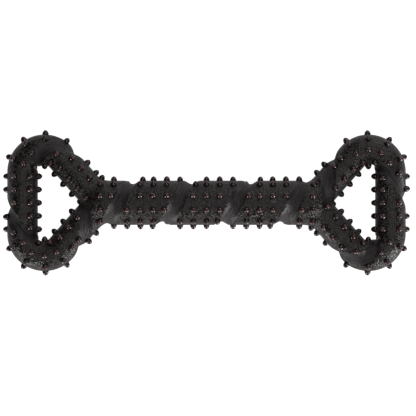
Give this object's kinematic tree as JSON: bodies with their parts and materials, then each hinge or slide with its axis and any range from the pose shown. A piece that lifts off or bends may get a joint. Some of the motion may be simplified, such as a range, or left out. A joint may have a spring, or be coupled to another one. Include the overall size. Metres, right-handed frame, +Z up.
{
  "type": "dog chew toy",
  "caption": "Bone-shaped rubber dog chew and tug toy: straight shaft with a triangular hand loop at each end, a spiral groove and rows of bullet-shaped tooth-cleaning nubs.",
  "frame": {"origin": "on the floor below the middle of the shaft, with the toy lying flat", "axes": "+X along the shaft towards the right loop, +Y across the toy in the plane of the loops, +Z up from the floor"},
  "size_m": [0.3294, 0.1176, 0.0403],
  "materials": {
    "charcoal_rubber": "matte, with a fine leather-like grain",
    "nub_rubber": "smooth and glossy, dark reddish brown"
  },
  "bodies": {
    "root": {"shaft": "charcoal_rubber", "left_neck": "charcoal_rubber", "left_upper_arm": "charcoal_rubber", "left_upper_bend": "charcoal_rubber", "left_lower_arm": "charcoal_rubber", "left_lower_bend": "charcoal_rubber", "left_grip_bar": "charcoal_rubber", "right_neck": "charcoal_rubber", "right_upper_arm": "charcoal_rubber", "right_upper_bend": "charcoal_rubber", "right_lower_arm": "charcoal_rubber", "right_lower_bend": "charcoal_rubber", "right_grip_bar": "charcoal_rubber"}
  },
  "joints": []
}
